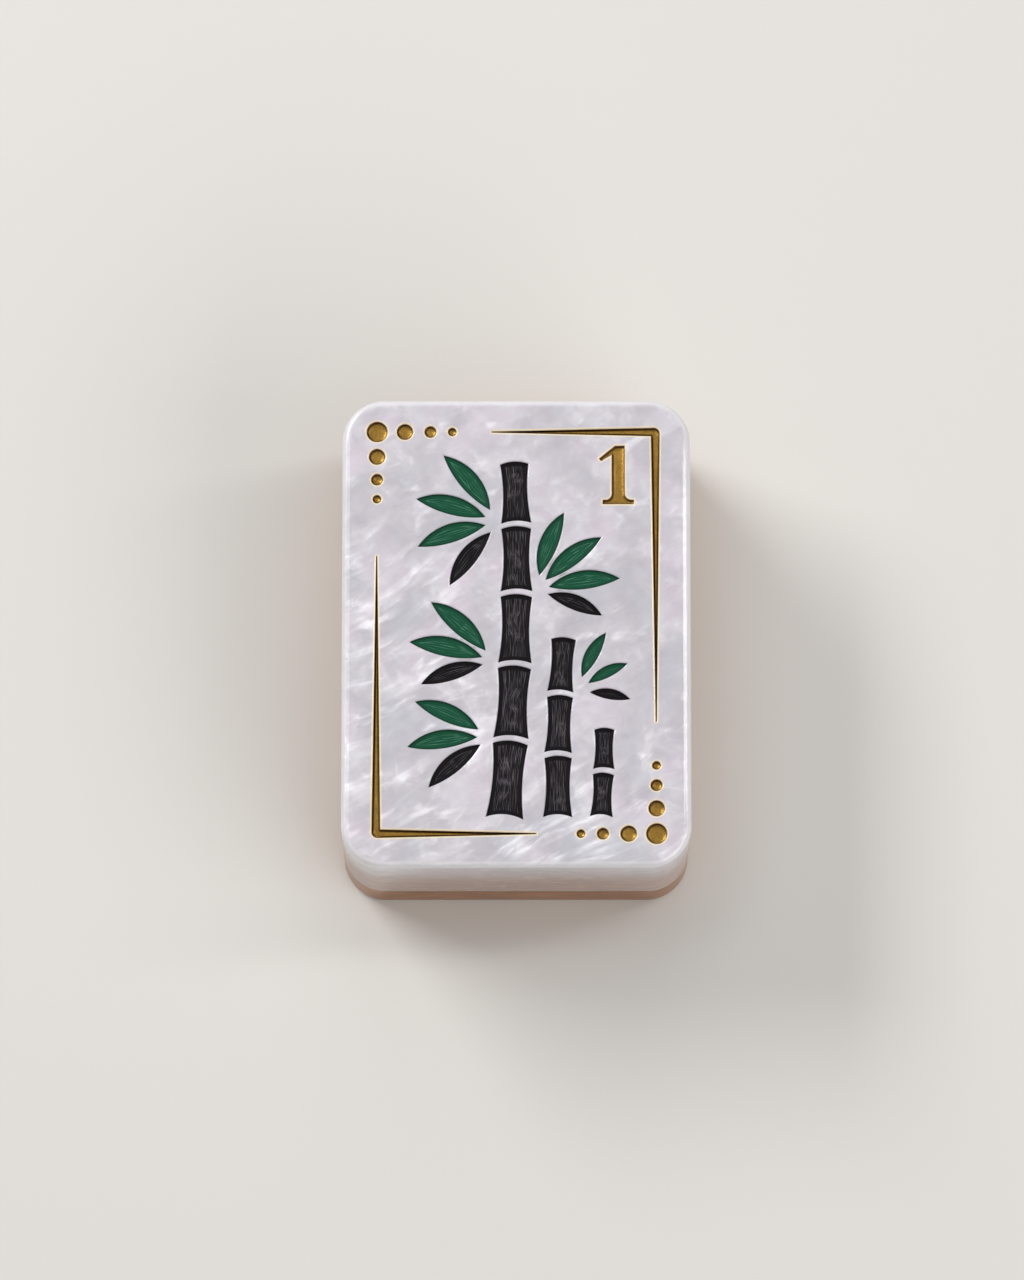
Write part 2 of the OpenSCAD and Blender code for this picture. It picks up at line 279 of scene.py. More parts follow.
class TileSettings(bpy.types.PropertyGroup):
    slab: PointerProperty(type=SlabSizes)
    pocket: PointerProperty(type=PocketSizes)
    border: PointerProperty(type=BorderSizes)
    bamboo: PointerProperty(type=BambooSizes)
    finish: PointerProperty(type=FinishColours)
    studio: PointerProperty(type=StudioSettings)


# Plane geometry, as whole arrays of points

def on_circle(angles):
    """The points (cos, sin) of a circle of radius 1."""
    return np.stack([np.cos(angles), np.sin(angles)], axis=1)


def part_way(first, last, share):
    """Points at shares of the way from the first to the last."""
    return first * (1 - share) + last * share


def arc_radius(chord, rise):
    """Radius of the arc over a chord with a given rise: (chord squared / 4 + rise squared) / (2 rise)."""
    return (chord * chord / 4 + rise * rise) / (2 * rise)


def turned(points, degrees):
    """Points turned about the origin: (x cos - y sin, x sin + y cos)."""
    cosine, sine = math.cos(math.radians(degrees)), math.sin(math.radians(degrees))
    return points @ np.array([[cosine, sine], [-sine, cosine]])


def circle_meeting(first, first_r, second, second_r, side):
    """Where two circles cross. The chord lies at (d squared + r1 squared - r2 squared) / 2d along the line of
    centres, and the crossing lies off that line by the rest of the first radius, to the left for side 1."""
    gap = second - first
    d = math.hypot(*gap)
    along = (d * d + first_r * first_r - second_r * second_r) / (2 * d)
    off = side * math.sqrt(first_r * first_r - along * along)
    unit = gap / d
    return first + along * unit + off * np.array([-unit[1], unit[0]])


def arc_between(centre, start, end, count):
    """Points on an arc from start to end about centre, at equal steps of angle the short way round."""
    first = math.atan2(*(start - centre)[::-1])
    sweep = (math.atan2(*(end - centre)[::-1]) - first + math.pi) % (2 * math.pi) - math.pi
    angles = first + sweep * np.linspace(0, 1, count)
    radius = math.hypot(*(start - centre))
    return centre + radius * on_circle(angles)


def coons(edges):
    """The grid of points inside four edges: the two ruled surfaces between opposite edges added together,
    less the bilinear surface through the four corners."""
    lower, upper, start, end = edges
    s = np.linspace(0, 1, len(lower))[:, None, None]
    t = np.linspace(0, 1, len(start))[None, :, None]
    across = (1 - t) * lower[:, None] + t * upper[:, None]
    along = (1 - s) * start[None] + s * end[None]
    corners = (1 - s) * ((1 - t) * lower[0] + t * upper[0]) + s * ((1 - t) * lower[-1] + t * upper[-1])
    return across + along - corners


def round_loop(edges):
    """The closed loop round four edges, each point once."""
    lower, upper, start, end = edges
    return np.concatenate([lower[:-1], end[:-1], upper[:0:-1], start[:0:-1]])


def mitred(loop, inset):
    """A closed loop moved inward: each point goes by the sum of its two edges' normals over one plus their
    dot product, times the distance. The loop runs counterclockwise."""
    ahead = np.roll(loop, -1, axis=0) - loop
    ahead /= np.linalg.norm(ahead, axis=1)[:, None]
    normal = np.stack([-ahead[:, 1], ahead[:, 0]], axis=1)
    before = np.roll(normal, 1, axis=0)
    return loop + inset * (normal + before) / (1 + (normal * before).sum(axis=1))[:, None]


def rounded_rectangle(width, height, radius, inset, steps=20, straight=24):
    """A rectangle's closed loop with round corners, moved inward: quarter circles about the four corner
    centres, whose radius is less by the inset, joined by straight runs of equal steps."""
    turn = np.linspace(0, math.pi / 2, steps + 1)
    corners = []
    for quarter, (x, y) in enumerate(((1, 1), (-1, 1), (-1, -1), (1, -1))):
        centre = np.array([x * (width / 2 - radius), y * (height / 2 - radius)])
        corners.append(centre + (radius - inset) * on_circle(turn + quarter * math.pi / 2))
    share = np.linspace(0, 1, straight + 1)[1:-1, None]
    runs = [part_way(corner[-1], corners[(k + 1) % 4][0], share) for k, corner in enumerate(corners)]
    return np.concatenate([part for pair in zip(corners, runs) for part in pair])


# Outlines of the pockets. Each has loop(inset), its closed outline in the face moved inward by that distance.

class Outline:
    """A pocket's outline, placed in the face: local points are turned, mirrored for side -1 and moved."""

    def __init__(self, at=(0, 0), degrees=0, side=1):
        self.at, self.degrees, self.side = np.array(at, float), degrees, side

    def placed(self, points):
        """Local points as they lie in the face."""
        return turned(points, self.degrees) * (self.side, 1) + self.at

    def along(self, points):
        """Local places of points in the face, as (x, y, 0) in millimetres."""
        local = turned((points - self.at) * (self.side, 1), -self.degrees) / MM
        return np.concatenate([local, np.zeros((len(local), 1))], axis=1)

    def loop(self, inset):
        """The closed outline, counterclockwise also where it is mirrored."""
        return self.placed(round_loop(self.edges(inset)))[::self.side]

    def grid(self, inset):
        """Points all over the inside, row by row."""
        return self.placed(coons(self.edges(inset)).reshape(-1, 2))


class Dot(Outline):
    """A circle of radius less the inset."""
    points = 72

    def __init__(self, at, radius):
        super().__init__(at)
        self.radius = radius

    def loop(self, inset):
        angles = np.arange(self.points) * 2 * math.pi / self.points
        return self.placed((self.radius - inset) * on_circle(angles))


class Leaf(Outline):
    """Two arcs over one chord from foot to tip. An inset takes as much off both radii, and the tips lie where
    the two circles then cross."""
    rows, columns = 96, 51

    def __init__(self, leaf_length, width_share, gap, at, degrees, side):
        super().__init__(at, degrees, side)
        self.length, self.gap = leaf_length, gap
        self.width = leaf_length * width_share
        self.back = self.width * LEAF_BACK_SHARE
        self.belly = self.width - self.back

    def edges(self, inset):
        middle = self.gap + self.length / 2
        back_r = arc_radius(self.length, self.back)
        belly_r = arc_radius(self.length, self.belly)
        back_at, belly_at = np.array([middle, self.back - back_r]), np.array([middle, belly_r - self.belly])
        circles = back_at, back_r - inset, belly_at, belly_r - inset
        foot, tip = circle_meeting(*circles, 1), circle_meeting(*circles, -1)
        reach = (tip[0] - foot[0]) / 2
        x = -reach * np.cos(np.linspace(0, math.pi, self.rows))
        under = np.sqrt((belly_r - inset) ** 2 - x * x)
        over = np.sqrt((back_r - inset) ** 2 - x * x)
        lower = np.stack([middle + x, belly_at[1] - under], axis=1)
        upper = np.stack([middle + x, back_at[1] + over], axis=1)
        lower[[0, -1]] = upper[[0, -1]] = foot, tip
        return lower, upper, np.repeat(foot[None], self.columns, 0), np.repeat(tip[None], self.columns, 0)


class CaneLength(Outline):
    """One length of a cane, from foot to crown along +X: a round crown, a foot hollowed to match the crown
    below, and two hollow sides. An inset takes its part off the crown's radius and adds it to the others."""
    rows, columns = 110, 101

    def __init__(self, cane_length, width, below_radius, at, heading):
        super().__init__(at, heading)
        self.length, self.width = cane_length, width
        self.crown_radius = END_SHARE * cane_length
        self.below_radius = below_radius or self.crown_radius
        self.waist = WAIST_SHARE * width

    def edges(self, inset):
        side_r = arc_radius(self.length, self.waist)
        off = self.width / 2 - self.waist + side_r
        crown = np.array([self.length - self.crown_radius, 0])
        below = np.array([-self.below_radius, 0])
        sides = [np.array([self.length / 2, off * way]) for way in (-1, 1)]
        feet, tops = (
            [circle_meeting(end, radius, at, side_r + inset, way) for at, way in zip(sides, (1, -1))]
            for end, radius in ((below, self.below_radius + inset), (crown, self.crown_radius - inset)))
        lower, upper = (arc_between(at, foot, top, self.rows) for at, foot, top in zip(sides, feet, tops))
        return lower, upper, arc_between(below, *feet, self.columns), arc_between(crown, *tops, self.columns)


class CornerRule(Outline):
    """Two tapered arms that meet in a corner with a round outer side. Each arm's half width falls evenly from
    the corner to the tip, and an inset takes d h / (h + d) off a half width h, so that no tip closes."""
    rows, bend, columns = 90, 16, 9

    def __init__(self, at, degrees, run, drop, width, tip, corner_radius):
        super().__init__(at, degrees)
        self.run, self.drop, self.half, self.tip_half = run, drop, width / 2, tip / 2
        self.corner_radius = corner_radius

    def half_width(self, share, inset):
        """Half an arm's width at a share of the way to its tip."""
        half = self.half + (self.tip_half - self.half) * share
        return half - (inset if inset < 0 else inset * half / (half + inset))

    def edges(self, inset):
        radius = self.corner_radius - inset
        bend_at = self.half - self.corner_radius
        end = self.half_width(1, 0) - self.half_width(1, inset)
        inner = self.half_width(self.half / self.run, inset)
        arc = bend_at + radius * on_circle(np.linspace(math.pi / 2, 0, self.bend))
        out = np.linspace(0, 1, self.rows)[:, None]
        sides = []
        for reach, order in ((self.run, 1), (self.drop, -1)):
            for way, start, beside in ((1, bend_at, bend_at + radius), (-1, -inner, -inner)):
                run = start + (end - reach - start) * out
                across = way * self.half_width(-run / reach, inset)
                across[0] = beside
                sides.append(np.concatenate([run, across], axis=1)[:, ::order])
        run_outer, run_inner, drop_outer, drop_inner = sides
        outer = np.concatenate([run_outer[::-1], arc[1:-1], drop_outer])
        inside = np.concatenate([run_inner[::-1], np.repeat(run_inner[:1], self.bend - 2, 0), drop_inner])
        share = np.linspace(0, 1, self.columns)[:, None]
        return inside, outer, *(part_way(inside[tip], outer[tip], share) for tip in (0, -1))

    def loop(self, inset):
        """The closed outline, with the point of the inner corner once."""
        inside, outer, start, finish = self.edges(inset)
        corner = self.rows + self.bend - 2
        inside = np.concatenate([inside[:self.rows], inside[corner + 1:]])
        return self.placed(round_loop((inside, outer, start, finish)))


class NumeralOne(Outline):
    """A stem with a slanted flag and a bracketed foot, as one closed loop moved inward by mitres."""
    bracket_steps = 14

    def __init__(self, at, height, sizes):
        super().__init__(at)
        half, foot, reach = sizes.stem_width / 2, sizes.foot_width / 2, sizes.flag_width
        low = sizes.foot_thickness
        bracket = BRACKET_SHARE * (foot - half)
        turn = np.linspace(-math.pi / 2, -math.pi, self.bracket_steps)
        curve = (half + bracket, low + bracket) + bracket * on_circle(turn)
        base = [(-foot, 0), (foot, 0), (foot, low)]
        top = [(half, height), (-FLAT_TOP_SHARE * 2 * half, height)]
        flag = [(-half - reach * x, height * y) for x, y in FLAG_SHARES]
        self.points = np.array([*base, *curve, *top, *flag, *(curve[::-1] * (-1, 1)), (-foot, low)])

    def loop(self, inset):
        return self.placed(mitred(self.points, inset))


# The pockets of this tile

def border_reach(settings):
    """How far the border's middle lines lie from the tile's middle, across it and along it."""
    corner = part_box("upper_corner_rule")[1]
    return np.array([corner.x, corner.y]) - settings.border.rule_width / 2


def slope(settings):
    """How far a wall moves inward for each unit of depth."""
    return math.tan(settings.pocket.wall_lean)


def dots(settings):
    """Each dot's node and outline: the frame gives its middle and its radius at the paint's level."""
    sink = slope(settings) * (settings.slab.face_z - settings.pocket.paint_z)
    found = {}
    for corner in CORNERS:
        for name in DOT_NAMES:
            low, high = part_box(f"{corner}_{name}")
            middle = (low + high) / 2
            found[f"{corner}_{name}"] = Dot((middle.x, middle.y), (high.x - low.x) / 2 + sink)
    return found


def corner_rules(settings):
    """Each rule's node and outline: the frame gives where its corner and its tips lie."""
    sizes = settings.border
    found = {}
    for corner, side in zip(CORNERS, (1, -1)):
        low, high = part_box(f"{corner}_corner_rule")
        run = high.x - low.x - sizes.rule_width / 2
        drop = high.y - low.y - sizes.rule_width / 2
        found[f"{corner}_corner_rule"] = CornerRule(
            side * border_reach(settings), 90 - 90 * side, run, drop, sizes.rule_width, sizes.rule_tip,
            sizes.rule_corner)
    return found


def numeral(settings):
    """The numeral's node and outline: the frame gives its right end, its foot and its height."""
    low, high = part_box("numeral_one")
    at = high.x - settings.border.foot_width / 2, low.y
    return {"numeral_one": NumeralOne(at, high.y - low.y, settings.border)}


def picture_x(settings):
    """Half the width that the picture may fill."""
    return border_reach(settings)[0] - settings.border.rule_width / 2 - settings.bamboo.picture_gap


def cane_layout(settings, cane):
    """Place, heading, length and width of each length of a cane. The lowest is the cane's whole length less
    its gaps, over the sum of the shares of all its lengths. Each next one starts a gap beyond the last."""
    sizes = settings.bamboo
    count, gap = CANE_COUNTS[cane], sizes.cane_gap
    along = border_reach(settings)[1]
    whole = CANE_LENGTH_SHARES[cane] * along - (count - 1) * gap
    lengths = whole * (1 - NEXT_LENGTH_SHARE) / (1 - NEXT_LENGTH_SHARE ** count)
    lengths = lengths * NEXT_LENGTH_SHARE ** np.arange(count)
    width = (sizes.tall_width, sizes.middle_width, sizes.short_width)[cane]
    widths = width * NEXT_WIDTH_SHARE ** np.arange(count)
    headings = 90 - CANE_LEANS[cane] - CANE_TURNS[cane] * np.arange(count)
    steps = (lengths + gap)[:, None] * on_circle(np.radians(headings))
    foot = np.array(CANE_FOOT_SHARES[cane]) * (picture_x(settings), along)
    places = foot + np.concatenate([np.zeros((1, 2)), np.cumsum(steps, axis=0)[:-1]])
    return places, headings, lengths, widths


def canes(settings):
    """Each length of each cane, by its node."""
    found = {}
    for cane, name in enumerate(CANE_NAMES):
        places, headings, lengths, widths = cane_layout(settings, cane)
        for i in range(CANE_COUNTS[cane]):
            below = END_SHARE * lengths[i - 1] + settings.bamboo.cane_gap if i else None
            found[f"{name}_{i + 1}"] = CaneLength(lengths[i], widths[i], below, places[i], headings[i])
    return found


def leaves(settings):
    """Each leaf by its node. A leaf's tip lies on an ellipse about its spray's meeting point that reaches out
    to the picture's side and up by the spray's height, drawn in by the leaf's own share."""
    sizes = settings.bamboo
    found = {}
    for spray, name in enumerate(SPRAY_NAMES):
        side = SPRAY_SIDES[spray]
        places, _, _, widths = cane_layout(settings, SPRAY_CANES[spray])
        joint = SPRAY_JOINTS[spray]
        meeting = places[joint] + (side * (widths[joint] / 2 + sizes.spray_gap), 0)
        room = picture_x(settings) - side * meeting[0]
        for i, (rise, share) in enumerate(zip(LEAF_DEGREES[spray], LEAF_LENGTH_SHARES[spray])):
            turn = math.radians(rise)
            reach = 1 / math.hypot(math.cos(turn) / room, math.sin(turn) / sizes.spray_height)
            found[f"{name}_{i + 1}"] = Leaf(reach * share - sizes.leaf_gap, sizes.leaf_width_share,
                                            sizes.leaf_gap, meeting, rise, side)
    return found


def gold_pockets(settings):
    """The border's pockets and the numeral's, by node."""
    return {**dots(settings), **corner_rules(settings), **numeral(settings)}


def all_pockets(settings):
    """Every pocket of the face, by node."""
    return {**gold_pockets(settings), **canes(settings), **leaves(settings)}


# Meshes

class Shell:
    """Gathers rings, grids and caps as arrays, then welds them into one closed mesh. Each point carries two
    numbers for its material. Rim is 1 at a pool's wall and round a gold pocket's rim, and falls to 0 away
    from there; by it the enamel finishes paint shade along a pool's wall, and the pearl a painted reflection
    of the gold round a gold pocket's rim. Mark is the depth of an engraved stroke, whose floor is painted
    with a highlight, or the share of a painted highlight on a slab's rounded edge there."""

    def __init__(self):
        self.points, self.rims, self.marks, self.faces = [], [], [], []
        self.count = 0

    def put(self, points, rim=0, mark=0):
        """Adds points and gives the number of the first."""
        first = self.count
        self.points.append(points.reshape(-1, 3))
        size = len(self.points[-1])
        self.rims.append(np.broadcast_to(rim, size))
        self.marks.append(np.broadcast_to(mark, size))
        self.count += size
        return first

    def quads(self, first, rows, columns, closed):
        """Four-sided faces between neighbours of a grid that is numbered row by row."""
        wide = columns if closed else columns - 1
        row, column = np.meshgrid(np.arange(rows - 1), np.arange(wide), indexing="ij")
        beside = (column + 1) % columns
        at = first + row * columns
        faces = np.stack([at + column, at + beside, at + columns + beside, at + columns + column], axis=-1)
        self.faces += faces.reshape(-1, 4).tolist()

    def rings(self, loops, heights, rims=0, marks=0):
        """A wall of closed loops, each at its own height."""
        stack = [at_height(loop, height) for loop, height in zip(loops, heights)]
        rims, marks = (np.repeat(np.broadcast_to(each, len(loops)), len(loops[0])) for each in (rims, marks))
        first = self.put(np.stack(stack), rims, marks)
        self.quads(first, len(loops), len(loops[0]), True)

    def grid(self, points, rows, columns, mark):
        """An open surface over rows and columns of points."""
        self.quads(self.put(points, 0, mark), rows, columns, False)

    def cap(self, loop, height, rim=0):
        """One flat face inside a closed loop."""
        first = self.put(at_height(loop, height), rim)
        self.faces.append(list(range(first, first + len(loop))))

    def fan(self, loop, height):
        """Triangles from a closed loop to its middle."""
        first = self.put(at_height(np.concatenate([loop, loop.mean(axis=0)[None]]), height))
        ring = first + np.arange(len(loop))
        middle = np.full(len(loop), first + len(loop))
        self.faces += np.stack([ring, np.roll(ring, -1), middle], axis=1).tolist()

    def plate(self, outer, holes, height):
        """A flat sheet inside one loop and outside the others."""
        points, faces = triangles([outer, *holes])
        first = self.put(at_height(points, height))
        self.faces += (faces + first).tolist()

    def pool(self, outer, inside, level, climb, width):
        """A sheet inside one loop and over the points inside it, which falls from the loop to its level as
        level + climb exp(-distance / width). Its rim is that exponential."""
        points, faces = triangles([outer], inside)
        fall = np.exp(-distances(points, outer) / width)
        self.faces += (faces + self.put(at_height(points, level + climb * fall), fall)).tolist()

    def mesh(self, name):
        """The welded mesh, with its faces outward and its edges sharp where they turn past SHARP_TURN."""
        mesh = bpy.data.meshes.new(name)
        mesh.from_pydata(np.concatenate(self.points).tolist(), [], self.faces)
        store(mesh, "rim", np.concatenate(self.rims))
        store(mesh, "mark", np.concatenate(self.marks))
        welded = bmesh.new()
        welded.from_mesh(mesh)
        bmesh.ops.remove_doubles(welded, verts=welded.verts, dist=WELD_REACH)
        bmesh.ops.dissolve_degenerate(welded, edges=welded.edges, dist=SPECK_REACH)
        bmesh.ops.recalc_face_normals(welded, faces=welded.faces)
        if welded.calc_volume(signed=True) < 0:
            bmesh.ops.reverse_faces(welded, faces=welded.faces)
        welded.to_mesh(mesh)
        welded.free()
        mesh.polygons.foreach_set("use_smooth", np.ones(len(mesh.polygons), bool))
        mesh.set_sharp_from_angle(angle=SHARP_TURN)
        return mesh


def store(mesh, label, values):
    """Keeps one number or one vector for each point of a mesh, under a label that its material reads."""
    kind, field = ("FLOAT", "value") if values.ndim == 1 else ("FLOAT_VECTOR", "vector")
    layer = mesh.attributes.new(label, kind, "POINT")
    layer.data.foreach_set(field, values.astype(np.float32).reshape(-1))


def face_places(mesh):
    """Where a mesh's points lie in the face's plane."""
    places = np.zeros(len(mesh.vertices) * 3)
    mesh.vertices.foreach_get("co", places)
    return places.reshape(-1, 3)[:, :2]


def at_height(points, height):
    """Points of the face's plane with a third coordinate."""
    return np.concatenate([points, np.broadcast_to(height, (len(points),))[:, None]], axis=1)


def triangles(loops, inside=()):
    """Constrained Delaunay triangles inside the first loop and outside the others, also over more points
    inside it. Gives all points and the triangles' corners."""
    flat = [Vector(point) for point in (*np.concatenate(loops), *inside)]
    starts = np.cumsum([0] + [len(loop) for loop in loops])
    polygons = [list(range(a, b)) for a, b in zip(starts[:-1], starts[1:])]
    found, _, faces, _, _, owners = delaunay_2d_cdt(flat, [], polygons, INSIDE_ONLY, MEETING_REACH)
    corners = [face for face, owner in zip(faces, owners) if owner == [0]]
    return np.array([tuple(point) for point in found]), np.array(corners)


def distances(points, loop):
    """How far each point lies from a closed loop: the least distance to its edges, where the nearest place on
    an edge from a to b is a + t (b - a), t = clamp((p - a) . (b - a) / |b - a| squared)."""
    edge = np.roll(loop, -1, axis=0) - loop
    away = points[:, None] - loop[None]
    share = np.clip((away * edge).sum(axis=2) / (edge * edge).sum(axis=1), 0, 1)
    return np.linalg.norm(away - share[..., None] * edge, axis=2).min(axis=1)


def within(points, loop):
    """Which points lie inside a closed loop: a ray toward +X crosses its edges an odd number of times."""
    after = np.roll(loop, -1, axis=0)
    x, y = points[:, :1], points[:, 1:]
    spans = (loop[:, 1] > y) != (after[:, 1] > y)
    rise = np.where(after[:, 1] == loop[:, 1], 1, after[:, 1] - loop[:, 1])
    crossing = loop[:, 0] + (y - loop[:, 1]) / rise * (after[:, 0] - loop[:, 0])
    return (spans & (crossing > x)).sum(axis=1) % 2 == 1


def points_within(loop, step):
    """A square grid of points inside a closed loop, none nearer to it than half a step."""
    lines = [np.arange(low, high, step) for low, high in zip(loop.min(axis=0), loop.max(axis=0))]
    points = np.stack(np.meshgrid(*lines), axis=-1).reshape(-1, 2)
    points = points[within(points, loop)]
    return points[distances(points, loop) > step / 2]


def scene_object(name, data):
    """A new object in the scene."""
    made = bpy.data.objects.new(name, data)
    bpy.context.scene.collection.objects.link(made)
    return made


def join_part(mesh, node, finish):
    """Makes the piece that stands for a node, on the same body, with its finish. Seen from above, it has to
    cover the node's own box."""
    piece = scene_object(f"{node}_made", mesh)
    mesh.materials.append(finish)
    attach(piece, "root")
    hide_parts(node)
    low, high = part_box(node)
    corners = np.array(piece.bound_box)
    off = np.abs([corners.min(axis=0) - low, corners.max(axis=0) - high])[:, :2].max()
    if off > FIT_TOLERANCE:
        raise RuntimeError(f"{node} is {off / MM:.3f} mm away from its place in the frame")


def rounding(radius, steps, sweep=math.pi / 2):
    """How far a rounding of that radius goes across and down, at equal steps of its angle: r sin a, and
    r (1 - cos a)."""
    angles = np.linspace(0, sweep, steps)
    return radius * np.sin(angles), radius * (1 - np.cos(angles))


def slab_wall(shell, sizes, guard, top, top_radius, bottom, bottom_radius):
    """The outer side of a slab from a flat strip on its top to one on its bottom: a profile with two
    roundings carried round the slab's rounded rectangle. Gives the top's and the bottom's loops."""
    across, down = rounding(top_radius, EDGE_STEPS)
    under_across, under_up = rounding(bottom_radius, FOOT_STEPS)
    fade = top_radius * np.array(FADE_RINGS)
    insets = np.concatenate([[top_radius + guard], top_radius - across, 0 * fade,
                             (bottom_radius - under_across)[::-1], [bottom_radius + guard]])
    heights = np.concatenate([[top], top - down, top - top_radius - fade,
                              (bottom + under_up)[::-1], [bottom]])
    # The marks give the share of a painted highlight along the rounded edge, fading down the wall
    marks = np.clip((top - heights) / (top_radius * EDGE_SHARE), 0, 1)
    marks *= np.exp(-np.clip(top - top_radius - heights, 0, None) / (FADE_SHARE * top_radius))
    loops = [rounded_rectangle(sizes.width, sizes.height, sizes.corner_radius, inset) for inset in insets]
    shell.rings(loops, heights, 0, marks)
    return loops[0], loops[-1]


def face_slab_mesh(settings):
    """The pearl slab: its outer wall, the flat face with a hole for each pocket, and each pocket's rounded
    rim, leaning wall and floor."""
    sizes, pocket = settings.slab, settings.pocket
    shell = Shell()
    top, bottom = slab_wall(shell, sizes, pocket.guard, sizes.face_z, sizes.edge_radius, sizes.seam_high,
                            sizes.seam_radius)
    shell.cap(bottom, sizes.seam_high)
    sweep = math.pi / 2 - pocket.wall_lean
    start = pocket.rim_radius * math.tan(sweep / 2)
    across, down = rounding(pocket.rim_radius, RIM_STEPS, sweep)
    depth = sizes.face_z - pocket.floor_z
    insets = np.concatenate([[-start - pocket.guard], across - start, [depth * slope(settings)]])
    heights = np.concatenate([[sizes.face_z], sizes.face_z - down, [pocket.floor_z]])
    # Mask of the painted reflection of the gold round the gold pockets' rims
    gold_rim_reflection = np.concatenate([[0], np.ones(len(across)), [0]])
    gold = gold_pockets(settings)
    holes = []
    for node, outline in all_pockets(settings).items():
        loops = [outline.loop(inset) for inset in insets]
        shell.rings(loops, heights, gold_rim_reflection * (node in gold))
        shell.cap(loops[-1], pocket.floor_z)
        holes.append(loops[0])
    shell.plate(top, holes, sizes.face_z)
    return shell.mesh("face_slab_made")


def plain_slab_mesh(settings, name, top, top_radius, bottom, bottom_radius):
    """A slab without pockets: its outer wall between two flat faces."""
    shell = Shell()
    guard = settings.pocket.guard * PLAIN_GUARD_SHARE
    loops = slab_wall(shell, settings.slab, guard, top, top_radius, bottom, bottom_radius)
    for loop, height in zip(loops, (top, bottom)):
        shell.cap(loop, height)
    return shell.mesh(name)


def paint_wall(shell, settings, outline, width):
    """The side of a pool of paint: its floor, its wall up to just under the pocket's rim, and its upper edge,
    which falls from the wall as level + climb exp(-distance / width). For the numeral, whose strokes are too
    thin for that, it stops at the wall. Gives its last loop's inset, that loop and the climb."""
    sizes, pocket = settings.slab, settings.pocket
    lean = slope(settings)
    contact = pocket.rim_radius * (1 - math.sin(pocket.wall_lean))
    wall = sizes.face_z - contact
    climb = wall - pocket.paint_z
    floor_inset = (sizes.face_z - pocket.floor_z) * lean
    distance = width * np.array(POOL_RINGS)
    share = np.exp(-distance / width)
    share[-2:] = 0
    if isinstance(outline, NumeralOne):
        distance, share = distance[:1], share[:1]
    insets = np.concatenate([[floor_inset], contact * lean + distance])
    heights = np.concatenate([[pocket.floor_z], pocket.paint_z + climb * share])
    loops = [outline.loop(inset) for inset in insets]
    shell.rings(loops, heights, np.concatenate([[1], share]))
    shell.cap(loops[0], pocket.floor_z, 1)
    return insets[-1], loops[-1], climb


def engraved_strokes(outline, pitch, width, random):
    """Depth, from 0 to 1, of fine strokes engraved along a pocket's grid. Lines lie side by side, a pitch
    apart, each broken into strokes with tapered ends. Groups of short strokes cross them at a slant. A stroke
    is a bell curve across its own line, and the depth at a point is the deepest of all strokes there."""
    def draw(name):
        return random.uniform(*STROKES[name])

    rows, columns = outline.rows, outline.columns
    s = np.linspace(0, 1, rows)
    if isinstance(outline, Leaf):
        s = (1 - np.cos(math.pi * s)) / 2
    points = outline.grid(0).reshape(rows, columns, 2)
    breadth = np.linalg.norm(points[:, -1] - points[:, 0], axis=1)
    t = np.linspace(0, 1, columns)
    depth = np.zeros((rows, columns))
    count = int(breadth.mean() / pitch)
    strokes = []
    for i in range(count):
        start = draw("first start")
        while start < LAST_START:
            reach = draw("reach")
            strokes.append((start + reach / 2, reach, (i + draw("place in line")) / count, draw("lean")))
            start += reach * NEXT_START_SHARE
    for _ in range(count // LINES_TO_A_GROUP):
        middle, line = draw("group middle"), draw("group line")
        lean, reach = random.choice((-1, 1)) * draw("group lean"), draw("group reach")
        strokes += [(middle + draw("shift"), reach, line + k / count, lean) for k in range(GROUP_STROKES)]
    for middle, reach, line, lean in strokes:
        wave = WAVE_SHARE * np.sin(s * draw("waves") + draw("first wave"))
        line = line + lean * (s - middle) + wave
        ends = np.clip(1 - np.abs(s - middle) / (reach / 2), 0, 1) ** 0.5
        away = (t[None] - line[:, None]) * breadth[:, None] / (width * draw("width"))
        depth = np.maximum(depth, draw("depth") * ends[:, None] * np.exp(-2 * away ** 2))
    return depth


def painted_mesh(settings, node, outline, random=None):
    """A pool of paint in its pocket. With a random source, its surface carries engraved strokes. Without one,
    it carries a painted shade, which falls as exp(-distance / width) from the outline, drifted toward the
    near right so that it lies widest along the far left."""
    pocket = settings.pocket
    shell = Shell()
    width = pocket.gold_climb if random is None else pocket.enamel_climb
    inset, loop, climb = paint_wall(shell, settings, outline, width)
    if isinstance(outline, Dot):
        shell.fan(loop, pocket.paint_z)
    elif isinstance(outline, NumeralOne):
        shell.pool(loop, points_within(loop, pocket.pool_step), pocket.paint_z, climb, width)
    else:
        rows, columns = len(outline.edges(inset)[0]), outline.columns
        mark = np.zeros((rows, columns))
        if random is not None:
            mark = engraved_strokes(outline, settings.bamboo.stroke_pitch, pocket.stroke_width, random)
        mark[[0, -1]] = 0
        mark[:, [0, -1]] = 0
        height = pocket.paint_z - pocket.stroke_depth * mark.reshape(-1)
        shell.grid(at_height(outline.grid(inset), height), rows, columns, mark.reshape(-1))
    mesh = shell.mesh(f"{node}_made")
    points = face_places(mesh)
    # Painted shade along the wall, drifted so that it lies widest on the far left
    if random is None:
        drifted = outline.loop(0) + np.array([1, -1]) * pocket.wall_shade_drift
        wash = np.exp(-distances(points, drifted) / pocket.wall_shade_width)
        store(mesh, "wash", np.where(within(points, drifted), wash, 1))
    else:
        store(mesh, "flow", outline.along(points))
    return mesh


# Finishes

